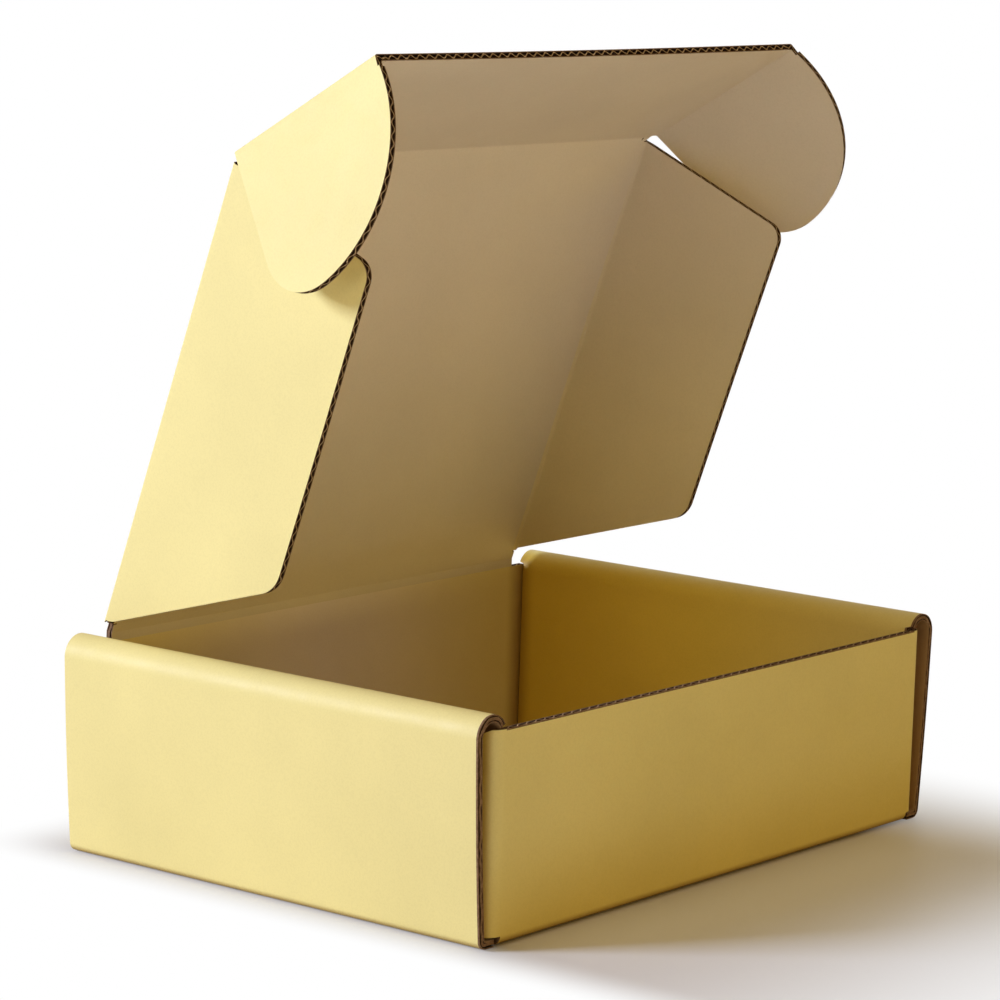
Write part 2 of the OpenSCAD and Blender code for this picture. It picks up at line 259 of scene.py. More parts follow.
def fade(tree, value, start, stop):
    """A share that goes smoothly from 0 at start to 1 at stop."""
    n = add(tree, "ShaderNodeMapRange", interpolation_type="SMOOTHSTEP")
    n.inputs["From Min"].default_value = min(start, stop)
    n.inputs["From Max"].default_value = max(start, stop)
    n.inputs["To Min"].default_value = 0.0 if start < stop else 1.0
    n.inputs["To Max"].default_value = 1.0 if start < stop else 0.0
    tree.links.new(value, n.inputs["Value"])
    return n.outputs["Result"]


def share_over(tree, where, stretches):
    """A share that comes in over each of the stretches (axis, start, stop), in millimetres.
    The axis |X| is the distance from the middle, to the left and to the right."""
    split = tree.nodes.new("ShaderNodeSeparateXYZ")
    tree.links.new(where, split.inputs[0])
    share = None
    for axis, start, stop in stretches:
        value = split.outputs[axis.strip("|")]
        if axis == "|X|":
            value = maths(tree, "ABSOLUTE", value)
        part = fade(tree, value, start * MM, stop * MM)
        share = maths(tree, "MULTIPLY", share, part) if share else part
    return share


# Materials

WHITE = (1, 1, 1)
MOTTLE = dict(scale=26, detail=4)
FLECK = dict(scale=1900, detail=2, roughness=0.7)
GLOSS = dict(scale=260, detail=3)
FIBRE = dict(scale=1400, detail=4, roughness=0.65)
SWELL = dict(scale=28, detail=2)
PULP = dict(scale=900, detail=5, roughness=0.7)
FUZZ = dict(scale=2600, detail=3, roughness=0.7)
INK_DARK, INK_LIGHT = 0.955, 1.025      # how far the mottling goes down and up
FLECK_TINT, FLECK_SHARE = (0.72, 0.70, 0.66), 0.12
SHINIER, DULLER = 0.06, 0.07            # how far the roughness goes down and up


def printed(name, colour, rough=0.52, shade_tones=()):
    """Printed liner: even ink with faint mottling and flecks, over fibres and slightly
    uneven board. Its tints are painted shade, each with the stretches over which it comes in."""
    m, tree, shader = nodes_of(name)
    where = add(tree, "ShaderNodeTexCoord").outputs["Object"]
    dark = [c * INK_DARK for c in colour]
    light = [min(1, c * INK_LIGHT) for c in colour]
    mottle = ramp(tree, noise(tree, where, **MOTTLE), [(0.3, dark), (0.7, light)])
    fleck = ramp(tree, noise(tree, where, **FLECK), [(0.38, FLECK_TINT), (0.55, WHITE)])
    ink = colours(tree, FLECK_SHARE, mottle, fleck)
    # painted shade: each tint darkens the ink over its stretches
    for shade_tint, stretches in shade_tones:
        ink = colours(tree, share_over(tree, where, stretches), ink, (*shade_tint, 1))
    gloss = [(0.3, (rough - SHINIER,) * 3), (0.7, (rough + DULLER,) * 3)]
    fibre = bump(tree, noise(tree, where, **FIBRE), strength=0.16, distance=0.00006)
    swell = bump(tree, noise(tree, where, **SWELL), strength=0.35, distance=0.0006, below=fibre)
    tree.links.new(ink, shader.inputs["Base Color"])
    tree.links.new(ramp(tree, noise(tree, where, **GLOSS), gloss), shader.inputs["Roughness"])
    tree.links.new(swell, shader.inputs["Normal"])
    shader.inputs["Specular IOR Level"].default_value = 0.32
    return m


def kraft(name, dark, light):
    """Unprinted brown paper, as cut: fibres and uneven tone."""
    m, tree, shader = nodes_of(name)
    where = add(tree, "ShaderNodeTexCoord").outputs["Object"]
    tone = ramp(tree, noise(tree, where, **PULP), [(0.32, dark), (0.68, light)])
    fuzz = bump(tree, noise(tree, where, **FUZZ), strength=0.5, distance=0.0001)
    tree.links.new(tone, shader.inputs["Base Color"])
    tree.links.new(fuzz, shader.inputs["Normal"])
    shader.inputs["Roughness"].default_value = 0.85
    shader.inputs["Specular IOR Level"].default_value = 0.2
    return m


OUTER = (0.88, 0.76, 0.31)
INNER = (0.82, 0.73, 0.60)
INNER_ROUGH = 0.6
INSIDE = ("|X|", roll_x, wall_in)       # from the top of a roll to the inner side panel
outer_print = printed("outer_print", OUTER)
inner_print = printed("inner_print", INNER, INNER_ROUGH)
lid_print_and_shade = printed("lid_print_and_shade", INNER, INNER_ROUGH, shade_tones=[
    ((0.87, 0.87, 0.72), [("Z", 150, 60)]),                         # painted shade, low on the lid
])
flap_print_and_shade = printed("flap_print_and_shade", INNER, INNER_ROUGH, shade_tones=[
    ((0.97, 0.94, 0.62), [("Z", 190, 70)]),                         # painted shade, low on the side flaps
])
rolled_print_and_shade = printed("rolled_print_and_shade", OUTER, shade_tones=[
    ((0.97, 0.84, 0.32), [INSIDE, ("Y", -90, 10)]),                 # painted shade inside the side walls
    ((0.93, 0.86, 0.55), [INSIDE, ("Y", -20, half_d)]),             # and more painted shade to the back
    ((0.6, 0.5, 0.35), [INSIDE, ("Y", half_d - 7, half_d - 1)]),    # darker painted shade in the corner at the back wall
    ((0.6, 0.5, 0.4), [("Z", 2.0, 0.3)]),                           # painted shade at the foot
])
# Painted shade: darker at the foot of a wall, and darker towards its bottom
foot_shade = ((0.55, 0.45, 0.35), [("Z", 2.6, 0.4)])
low_shade = ((0.88, 0.8, 0.55), [("Z", 28, 1)])
end_print_and_shade = printed("end_print_and_shade", OUTER, shade_tones=[foot_shade, low_shade])
corner_print_and_shade = printed("corner_print_and_shade", OUTER, shade_tones=[
    foot_shade, low_shade,
    # painted shade in the crevice at the outside of the upright fold
    ((0.66, 0.50, 0.15), [("|X|", bend_x + 0.6 * UPRIGHT_R, bend_x + UPRIGHT_R)]),
])
back_print_and_shade = printed("back_print_and_shade", INNER, INNER_ROUGH, shade_tones=[
    ((1, 0.95, 0.45), [("|X|", wall_in - 90, wall_in)]),            # painted shade towards the side walls
    ((0.5, 0.38, 0.22), [("|X|", wall_in - 7, wall_in)]),           # and darker painted shade close to them
])
# Dark brown inside the rolled walls: painted shade of the closed hollow in the roll
roll_inside_shade = printed("roll_inside_shade", (0.42, 0.27, 0.14), rough=0.7)
cut_edge = kraft("cut_edge", (0.13, 0.07, 0.034), (0.30, 0.18, 0.10))
# Near black in the flute hollows: painted shade
hollow_shade = kraft("flute_hollow_shade", (0.022, 0.010, 0.004), (0.05, 0.024, 0.010))
medium_edge = kraft("flute_paper", (0.25, 0.155, 0.08), (0.52, 0.365, 0.215))


# Board meshes

FIRST, SECOND, CUT, HOLLOW, PAPER = range(5)    # material slots of every piece
BORDERS = ("i0", "i1", "j0", "j1")
WELD = 1e-7                                     # metres
NO_LENGTH = 1e-9


def lay(faces, mats, quads, slot):
    """Adds faces of one material to a mesh's lists."""
    faces.append(quads)
    mats.append(np.full(len(quads), slot))


def strip(a, b):
    """Faces between two rows of points."""
    return np.stack([a[:-1], a[1:], b[1:], b[:-1]], axis=1)


def border_of(grid, side, depth=0):
    """The row of a grid along one of its borders, or depth rows further in."""
    rows = grid if side[0] == "i" else grid.swapaxes(0, 1)
    return rows[depth if side[1] == "0" else -1 - depth]


def lengths_along(points):
    """The length of a row of points up to each of them."""
    return np.concatenate(([0], np.cumsum(np.linalg.norm(np.diff(points, axis=0), axis=1))))


def rim(verts, faces, mats, top_ids, low_ids, inner, kind, seed, lean):
    """The cut edge along one border: two liners, the wavy middle and the hollows beside it.
    Returns the points it adds. lean presses a torn middle to the lower liner."""
    t, b = verts[top_ids], verts[low_ids]
    mid, thick = (t + b) / 2, t - b
    half = np.linalg.norm(thick, axis=1) / 2
    up = thick / (2 * half[:, None])
    out = np.cross(np.gradient(mid, axis=0), up)
    size = np.linalg.norm(out, axis=1)
    size[size < NO_LENGTH] = 1
    out = out / size[:, None]
    way = np.sign(np.sum(out * (mid - inner), axis=1).sum())
    out = out * (way if way else 1)
    s = lengths_along(mid)
    ends = np.clip(np.minimum(s, s[-1] - s) / WAVE_END, 0, 1)
    if kind == "flute":
        medium, paper = MEDIUM, PAPER
        reach = half - LINER - medium / 2
        wave = reach * np.sin(2 * math.pi * s / PITCH) * ends
        depth = FLUTE_DEPTH + 0 * s
    else:
        medium, paper = TORN_MEDIUM, CUT
        reach = half - LINER - medium / 2
        rng = np.random.default_rng(seed)
        knots = np.arange(0, s[-1] + TORN_SPARE, TORN_STEP)
        ups = rng.uniform(-TORN_REACH, TORN_REACH, len(knots))
        wave = reach * (np.interp(s, knots, ups) - lean) * ends
        depth = TORN_DEPTH + TORN_DEEPER * np.interp(s, knots, rng.uniform(0, 1, len(knots)))
    wave = np.clip(wave, -reach, reach)
    levels = [half - LINER, wave + medium / 2, wave - medium / 2, LINER - half]
    front = [mid + up * v[:, None] for v in levels]
    back = [p - out * depth[:, None] for p in front]
    n = len(s)
    f0, f1, f2, f3, b0, b1, b2, b3 = (len(verts) + n * i + np.arange(n) for i in range(8))
    rows = [top_ids, f0, b0, b1, f1, f2, b2, b3, f3, low_ids]
    slots = [CUT, HOLLOW, HOLLOW, HOLLOW, paper, HOLLOW, HOLLOW, HOLLOW, CUT]
    for a, c, slot in zip(rows, rows[1:], slots):
        lay(faces, mats, strip(a, c), slot)
    for k in (0, n - 1):
        caps = [[f0[k], b0[k], b1[k], f1[k]], [f2[k], b2[k], b3[k], f3[k]]]
        lay(faces, mats, np.array(caps), HOLLOW)
    return np.concatenate(front + back)


def board(name, top, under, kinds, body, materials, cut=None, seed=1, lean=0.0, worn=()):
    """One stretch of board between its two faces, given as grids of points in millimetres.
    kinds names the border at each side of the grid: "flute", "torn", "joined" or "none".
    cut marks the cells that are left out. worn names the borders along which the print of
    the first face is broken down to the paper."""
    ni, nj = top.shape[:2]
    verts = np.concatenate([top.reshape(-1, 3), under.reshape(-1, 3)])
    t = np.arange(ni * nj).reshape(ni, nj)
    u = t + ni * nj
    keep = np.ones((ni - 1, nj - 1), bool) if cut is None else ~cut
    faces, mats = [], []
    for grid, slot, worn_sides in ((t, FIRST, worn), (u, SECOND, ())):
        cells = np.full(keep.shape, slot)
        for side in worn_sides:
            border_of(cells, side)[:] = CUT
        quads = [grid[:-1, :-1], grid[1:, :-1], grid[1:, 1:], grid[:-1, 1:]]
        faces.append(np.stack(quads, axis=-1)[keep])
        mats.append(cells[keep])
    for index, side in enumerate(BORDERS):
        kind = kinds.get(side, "joined")
        a, b, inner = border_of(t, side), border_of(u, side), border_of(t, side, 1)
        kept = border_of(keep, side)
        if kind == "none":
            continue
        if kind == "joined":
            lay(faces, mats, strip(a, b)[kept], CUT)
            continue
        middle = (verts[inner] + verts[inner + ni * nj]) / 2
        ends = np.flatnonzero(np.diff(np.concatenate(([0], kept.astype(int), [0]))))
        for first, last in zip(ends[::2], ends[1::2]):
            run = slice(first, last + 1)
            extra = rim(verts, faces, mats, a[run], b[run], middle[run], kind,
                        seed + index, lean)
            verts = np.concatenate([verts, extra])
    inner_walls(keep, t, u, faces, mats)
    return make(name, verts, np.concatenate(faces), np.concatenate(mats), body, materials)


def inner_walls(keep, t, u, faces, mats):
    """Cut faces round the cells that are left out of a grid."""
    changes = (((1, 0), keep[:-1] != keep[1:]), ((0, 1), keep[:, :-1] != keep[:, 1:]))
    for (di, dj), changed in changes:
        for i, j in zip(*np.nonzero(changed)):
            a, b = (i + di, j + dj), (i + 1, j + 1)
            lay(faces, mats, np.array([[t[a], t[b], u[b], u[a]]]), CUT)


def new_object(name, data):
    """An object in the scene."""
    o = bpy.data.objects.new(name, data)
    bpy.context.scene.collection.objects.link(o)
    return o


def make(name, verts, faces, mats, body, materials):
    """A Blender object from points in millimetres, with outward faces and crisp cut edges."""
    mesh = bpy.data.meshes.new(name)
    mesh.from_pydata((verts * MM).tolist(), [], faces.tolist())
    mesh.polygons.foreach_set("material_index", mats.astype(np.int32))
    bm = bmesh.new()
    bm.from_mesh(mesh)
    bmesh.ops.remove_doubles(bm, verts=bm.verts, dist=WELD)
    bmesh.ops.dissolve_degenerate(bm, edges=bm.edges, dist=WELD)
    loose = [v for v in bm.verts if not v.link_faces]
    bmesh.ops.delete(bm, geom=loose, context="VERTS")
    bmesh.ops.recalc_face_normals(bm, faces=bm.faces)
    for f in bm.faces:
        f.smooth = f.material_index in (FIRST, SECOND)
    for e in bm.edges:
        if len(e.link_faces) == 2:
            e.smooth = e.link_faces[0].material_index == e.link_faces[1].material_index
    bm.to_mesh(mesh)
    bm.free()
    o = new_object(name, mesh)
    for m in (*materials, cut_edge, hollow_shade, medium_edge):
        mesh.materials.append(m)
    if body:
        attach(o, body)
    return o


# Outlines in a flap's own plane: points (across, along) from its fold and its foot

def line(p, q):
    """Points from p towards q, without q."""
    n = max(2, int(math.dist(p, q) / STEP) + 1)
    return [(p[0] + (q[0] - p[0]) * k / n, p[1] + (q[1] - p[1]) * k / n) for k in range(n)]


def arc(c, r, a0, a1):
    """Points round a circle from angle a0 towards a1, without the last."""
    n = max(3, int(abs(a1 - a0) * r / STEP) + 1)
    angles = [a0 + (a1 - a0) * k / n for k in range(n)]
    return [(c[0] + r * math.cos(a), c[1] + r * math.sin(a)) for a in angles]


def side_flap_outline():
    """Free edge of a side flap, from the hinge end to the tuck end, starting and ending
    beside its fold."""
    rear, front = side_rear, side_front
    y0, y1 = NOTCH, lid_l - SIDE_FRONT_GAP
    rear_up = SIDE_REAR_R * math.tan((QUARTER - rear) / 2)
    rear_c = (SIDE_W - SIDE_REAR_R, y0 + SIDE_REAR + rear_up)
    front_down = SIDE_FRONT_R * math.tan((QUARTER - front) / 2)
    front_c = (SIDE_W - SIDE_FRONT_R, y1 - SIDE_FRONT - front_down)
    a = (CREASE, y0 + CREASE * math.tan(rear))
    b = (rear_c[0] + SIDE_REAR_R * math.sin(rear), rear_c[1] - SIDE_REAR_R * math.cos(rear))
    c = (front_c[0] + SIDE_FRONT_R * math.sin(front),
         front_c[1] + SIDE_FRONT_R * math.cos(front))
    d = (CREASE, y1 - CREASE * math.tan(front))
    points = line(a, b) + arc(rear_c, SIDE_REAR_R, rear - QUARTER, 0)
    points += line((SIDE_W, rear_c[1]), (SIDE_W, front_c[1]))
    return points + arc(front_c, SIDE_FRONT_R, 0, QUARTER - front) + line(c, d) + [d]


def ear_outline():
    """Free edge of an ear: straight beside the lid, a small round corner, then the big
    round edge. The corner's middle (up, side) is placed so that it touches both."""
    c, s = math.cos(EAR_SLANT), math.sin(EAR_SLANT)
    mid = TUCK_L - math.sqrt(EAR_R ** 2 - EAR_RISE ** 2)
    far = EAR_R - EAR_CORNER_R
    k = EAR_START + EAR_CORNER_R / c - mid
    m = s / c
    qa, qb, qc = 1 + m * m, k * m - EAR_RISE, k * k + EAR_RISE ** 2 - far ** 2
    up = (-qb + math.sqrt(qb * qb - qa * qc)) / qa
    side = mid + k + m * up
    meet = math.atan2(side - mid, up - EAR_RISE)
    top = math.pi - math.asin((TUCK_L - mid) / EAR_R)
    a = (CREASE, EAR_START + CREASE * m)
    b = (up + EAR_CORNER_R * s, side - EAR_CORNER_R * c)
    end = (CREASE, mid + math.sqrt(EAR_R ** 2 - (EAR_RISE - CREASE) ** 2))
    points = line(a, b) + arc((up, side), EAR_CORNER_R, EAR_SLANT - QUARTER, meet)
    points += arc((EAR_RISE, mid), EAR_R, meet, top)
    return [q for q in points if q[0] > CREASE + EAR_CLEAR] + [end]


FAN_ROWS = (0, 0.12, 0.25, 0.4, 0.55, 0.7, 0.85)
FAN_BY_HEIGHT, FAN_BY_LENGTH = 0.8, 0.2     # what sets the place of a point's foot
FAN_SHORTEST = 4


def fan(outline, bow):
    """Grid of (across, along, rise) from the fold to the free edge, for any outline."""
    p = np.array(outline)
    s = lengths_along(p)
    height = p[-1, 1] - p[0, 1]
    share = FAN_BY_HEIGHT * (p[:, 1] - p[0, 1]) / height + FAN_BY_LENGTH * s / s[-1]
    foot = np.stack([np.full(len(p), CREASE), p[0, 1] + height * share], axis=1)
    reach = np.linalg.norm(p - foot, axis=1)
    last = 1 - EDGE_BAND / np.maximum(reach, FAN_SHORTEST)
    rows = [foot + (p - foot) * r for r in FAN_ROWS]
    flat = np.stack(rows + [foot + (p - foot) * last[:, None], p])
    rise = bow(flat[..., 0], flat[..., 1])
    return np.concatenate([flat, rise[..., None]], axis=-1)


def both_faces(mid, normal):
    """The two faces of a board from its middle surface, the one along the normal first."""
    return mid + HALF * normal, mid - HALF * normal


def placed(grid, origin, ex, ey, ez):
    """The inner and the outer face of a board whose middle is a grid of (x, y, rise)."""
    mid = origin + grid[..., 0:1] * ex + grid[..., 1:2] * ey + grid[..., 2:3] * ez
    return both_faces(mid, ez)


# Creases

CREASE_IN, CREASE_OUT = 0.62, 0.35      # middle rows of the inner and the outer face


def crease(name, origin, axis, ahead, inward, bend, spans, seed,
           ends=("torn", "torn"), materials=(inner_print, outer_print)):
    """The bent board over a moving fold, from CREASE before its axis to CREASE after it.
    spans gives the stretch along the axis for a place u across the fold."""
    fillet = min(CREASE_FILLET, CREASE_FILLET * bend)
    edge = HALF * math.tan(bend / 2) + fillet * math.tan(bend / 2)
    places = [-CREASE, -CREASE_IN * CREASE, -edge]
    in_pts = [(u, HALF) for u in places]
    out_pts = [(u, -HALF) for u in (-CREASE, -CREASE_OUT * CREASE, 0)]
    for k in range(1, CREASE_TURNS):
        a = -QUARTER + bend * k / CREASE_TURNS
        c, s = math.cos(a), math.sin(a)
        out_pts.append((HALF * c, HALF * s))
        in_pts.append((-edge + fillet * c, HALF + fillet + fillet * s))
        places.append(edge * (2 * k / CREASE_TURNS - 1))
    c, s = math.cos(bend), math.sin(bend)
    beyond = ((edge, 0), (CREASE_IN * CREASE, CREASE_OUT * CREASE), (CREASE, CREASE))
    for u, v in beyond:
        out_pts.append((v * c + HALF * s, v * s - HALF * c))
        in_pts.append((u * c - HALF * s, u * s + HALF * c))
        places.append(u)
    n = max(3, int((spans(0)[1] - spans(0)[0]) / CREASE_STEP))
    top = np.zeros((len(places), n, 3))
    under = np.zeros_like(top)
    for i, u in enumerate(places):
        a, b = spans(u)
        for j in range(n):
            base = origin + axis * (a + (b - a) * j / (n - 1))
            top[i, j] = base + in_pts[i][0] * ahead + in_pts[i][1] * inward
            under[i, j] = base + out_pts[i][0] * ahead + out_pts[i][1] * inward
    o = board(name, top, under, dict(zip(("j0", "j1"), ends)), None, materials, seed=seed)
    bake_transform(o)


# Lid, flaps, tuck and ears

CUT_ROUND = {"i1": "flute", "j0": "none", "j1": "none"}     # borders of a fan


def hinge_fold():
    """The bent strip between the back wall and the lid."""
    crease("hinge_fold_board", hinge_at, X, Z, -Y, lid_lean,
           lambda u: (-hinge_half, hinge_half), seed=81, materials=(lid_print_and_shade, outer_print))


def lid_panel():
    """The lid's panel between its four folds, slightly bowed."""
    xs = np.linspace(CREASE - half_lid, half_lid - CREASE, 41)
    ys = np.linspace(CREASE, lid_l - CREASE, 33)
    gx, gy = np.meshgrid(xs, ys, indexing="ij")
    rise = -LID_BOW * np.cos(gx / half_lid * math.pi / 2) * np.sin(gy / lid_l * math.pi)
    from_sides = half_lid - CREASE - abs(gx)
    from_ends = np.minimum(gy - CREASE, lid_l - CREASE - gy)
    rise *= np.clip(from_sides / LID_BOW_EDGE, 0, 1) * np.clip(from_ends / LID_BOW_EDGE, 0, 1)
    top, under = placed(np.stack([gx, gy, rise], axis=-1), hinge_at, X, lid_along, lid_in)
    o = board("lid_panel_board", top, under, {}, "lid_panel", (lid_print_and_shade, outer_print))
    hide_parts("lid_panel")


def folded(side, fold, facing):
    """Directions across and out of a flap that is folded up from a panel's side edge."""
    c, s = math.cos(fold), math.sin(fold)
    return side * X * c + facing * s, -side * X * s + facing * c


def side_flap(side, name):
    """A side flap of the lid and its fold."""
    def bow(x, y):
        middle = np.sin(np.clip(y / lid_l, 0, 1) * math.pi)
        return SIDE_BOW * middle * ((x - CREASE) / SIDE_W) ** 2

    def spans(u):
        v = max(0, u)
        return (NOTCH + v * math.tan(side_rear),
                lid_l - SIDE_FRONT_GAP - v * math.tan(side_front))

    across, inward = folded(side, SIDE_FOLD, lid_in)
    at = hinge_at + side * half_lid * X
    top, under = placed(fan(side_flap_outline(), bow), at, across, lid_along, inward)
    o = board(name + "_board", top, under, CUT_ROUND, name, (flap_print_and_shade, outer_print), seed=11)
    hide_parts(name)
    crease(name + "_fold", at, lid_along, side * X, lid_in, SIDE_FOLD,
           spans, seed=21, materials=(flap_print_and_shade, outer_print))


def tuck_flap():
    """The tuck flap and its fold at the lid's front."""
    def spans(u):
        reach = half_lid - CREASE if u < -TUCK_NARROW else half_tuck - CREASE
        return -reach, reach

    count = len(np.arange(CREASE - half_tuck, half_tuck - CREASE + STEP / 2, STEP))
    xs = np.linspace(CREASE - half_tuck, half_tuck - CREASE, count)
    ys = np.concatenate([np.linspace(CREASE, TUCK_L - EDGE_BAND, 13), [TUCK_L]])
    gy, gx = np.meshgrid(ys, xs, indexing="ij")
    middle = np.cos(gx / half_tuck * math.pi / 2)
    rise = TUCK_BOW * middle * ((gy - CREASE) / TUCK_L) ** 2
    top, under = placed(np.stack([gx, gy, rise], axis=-1), tuck_at, X, tuck_along, tuck_in)
    o = board("tuck_flap_board", top, under, {"i1": "flute"}, "tuck_flap",
              (inner_print, outer_print), seed=31)
    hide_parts("tuck_flap")
    crease("tuck_fold_board", tuck_at, X, lid_along, lid_in,
           tuck_bend, spans, seed=33)


def ear(side, name, fold, curl):
    """An ear of the tuck flap and its fold."""
    def bow(x, y):
        return -curl * ((x - CREASE) / EAR_W) ** 2

    def spans(u):
        return EAR_START + max(0, u) * math.tan(EAR_SLANT), TUCK_L

    across, inward = folded(side, fold, tuck_in)
    at = tuck_at + side * half_tuck * X
    top, under = placed(fan(ear_outline(), bow), at, across, tuck_along, inward)
    o = board(name + "_board", top, under, CUT_ROUND, name, (inner_print, outer_print), seed=41)
    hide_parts(name)
    crease(name + "_fold_board", at, tuck_along, side * X, tuck_in, fold,
           spans, seed=43, ends=("torn", "flute"))


# Tray

WALL_STEP = 4           # distance of the points up a plain wall
WALL_TOP = 3            # from a wall's top to the first of them
FLOOR_STEP = 5          # distance of the points on the floor
FLAP_STEP = 3           # and along a corner flap
NEARLY = 0.01


def spread(a, b, step):
    """Places from a to b about a step apart, without the last."""
    n = max(1, int(round(abs(b - a) / step)))
    return [a + (b - a) * k / n for k in range(n)]


def rounded(c, r, angles):
    """A path round a fold: the two places and the two parts of its normal at every angle."""
    return [(c[0] + r * math.cos(a), c[1] + r * math.sin(a), math.cos(a), math.sin(a))
            for a in angles]


def bent_sheet(name, pts, xs, kinds, seed, over=outer_print, under=inner_print, worn=()):
    """A board that follows a path of (y, z, normal y, normal z) at every x."""
    path = np.array(pts)
    mid = np.zeros((len(path), len(xs), 3))
    mid[..., 0] = xs
    mid[..., 1:] = path[:, None, :2]
    normal = np.zeros_like(mid)
    normal[..., 1:] = path[:, None, 2:]
    return board(name, *both_faces(mid, normal), kinds, "tray", (over, under), seed=seed,
                 worn=worn)


def floor_fold(end):
    """Path round the fold between the floor and an end wall, from the wall to the floor."""
    angles = [math.pi + 0.5 * math.pi * k / 7 for k in range(8)]
    pts = rounded((-half_d + FOLD_R, FOLD_R), FOLD_R - HALF, angles)
    pts.append((-relief_y, HALF, 0, -1))
    return [(-end * y, z, -end * ny, nz) for y, z, ny, nz in pts]


def end_walls():
    """Front wall with its raw top edge, the floor, and the back wall up to the hinge."""
    xs = np.linspace(-bend_x, bend_x, int(2 * bend_x / STEP))
    heights = [front_h, front_h - EDGE_BAND] + spread(front_h - WALL_TOP, FOLD_R, WALL_STEP)
    front = [(-half_d + HALF, z, -1, 0) for z in heights]
    o = bent_sheet("front_wall", front + floor_fold(-1), xs, {"i0": "flute"}, seed=51,
                   over=end_print_and_shade, worn=("i0",))
    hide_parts("tray")
    rows = spread(-relief_y, relief_y, FLOOR_STEP) + [relief_y]
    across = np.linspace(-floor_edge, floor_edge, 40)
    bent_sheet("floor_board", [(y, HALF, 0, -1) for y in rows], across, {}, seed=52)
    hinge_low = float(hinge_at[2]) - CREASE
    heights = [hinge_low] + spread(hinge_low - WALL_TOP, FOLD_R, WALL_STEP)
    back = [(half_d - HALF, z, 1, 0) for z in heights]
    bent_sheet("back_wall", back + floor_fold(1), xs, {"i0": "flute"}, seed=53,
               over=end_print_and_shade, under=back_print_and_shade)


def upright_corner(side, end):
    """Upright fold at a corner and the flap that runs back inside the side wall, along a
    path of (x, y, normal x, normal y, height of the top)."""
    cy = -half_d + UPRIGHT_R
    r = UPRIGHT_R - HALF
    drop = front_h - (roll_z + CORNER_FLAP_RISE)
    begin, length = CORNER_STEP
    angles = np.linspace(-QUARTER, 0, 19)
    lower = [drop * min(1, max(0, (a - begin) / length)) for a in angles]
    pts = [(*p, front_h - v) for p, v in zip(rounded((bend_x, cy), r, angles), lower)]
    far = CORNER_FLAP_L - half_d
    rows = spread(cy + CORNER_FLAP_START, far, FLAP_STEP) + [far]
    pts += [(bend_x + r, y, 1, 0, front_h - drop) for y in rows]
    path = np.array(pts) * (side, -end, side, -end, 1)
    share = np.array(CORNER_ROWS)
    foot = BOARD + CORNER_FLAP_FOOT
    mid = np.zeros((len(path), len(share), 3))
    mid[..., :2] = path[:, None, :2]
    mid[..., 2] = foot + (path[:, 4:5] - foot) * share[None, :]
    normal = np.zeros_like(mid)
    normal[..., :2] = path[:, None, 2:4]
    name = "corner_%s_%s" % ("right" if side > 0 else "left", "back" if end > 0 else "front")
    torn = {"j1": "torn", "j0": "torn", "i1": "torn"}
    board(name, *both_faces(mid, normal), torn, "tray", (corner_print_and_shade, inner_print), seed=61)


def side_path():
    """Path of a rolled side wall: floor edge, outer panel, rolled top, inner panel and its
    locking tabs, as (x, z, normal x, normal z, half the length of the board there)."""
    fold_x = half_floor - FOLD_R
    gap = math.hypot(roll_x - fold_x, roll_z - FOLD_R)
    lean = math.atan((roll_x - fold_x) / (roll_z - FOLD_R))
    lean += math.asin((ROLL_R - FOLD_R) / gap)
    out = np.array((math.cos(lean), -math.sin(lean)))
    short = half_d - SIDE_SHORT
    inner = half_d - BOARD - LAYER_GAP
    relief_x = bend_x + 2 * RELIEF_R
    xs = [floor_edge] + spread(slot_in, slot_out, STEP) + [slot_out]
    xs += spread(relief_x, fold_x, STEP)
    pts = [(x, HALF, 0, -1, relief_y if x < relief_x else short) for x in sorted(xs)]
    fold = rounded((fold_x, FOLD_R), FOLD_R - HALF, np.linspace(-QUARTER, -lean, 10))
    pts += [(*p, short) for p in fold]
    p = np.array(pts[-1][:2])
    q = np.array((roll_x, roll_z)) + (ROLL_R - HALF) * out
    for k in spread(0, 1, STEP / float(np.linalg.norm(q - p)))[1:]:
        bulge = SIDE_BULGE * math.sin(k * math.pi)
        pts.append((*(p + (q - p) * k + bulge * out), *out, short))
    angles = np.linspace(-lean, math.pi, 34)
    for a, point in zip(angles, rounded((roll_x, roll_z), ROLL_R - HALF, angles)):
        low = a > ROLL_INSIDE and point[1] < front_h + ROLL_CLEAR
        pts.append((*point, inner if low else short))
    down = spread(roll_z, tab_top, STEP * 2)[1:] + [tab_top, TAB_END]
    return np.array(pts + [(wall_in + HALF, z, -1, 0, inner) for z in down])


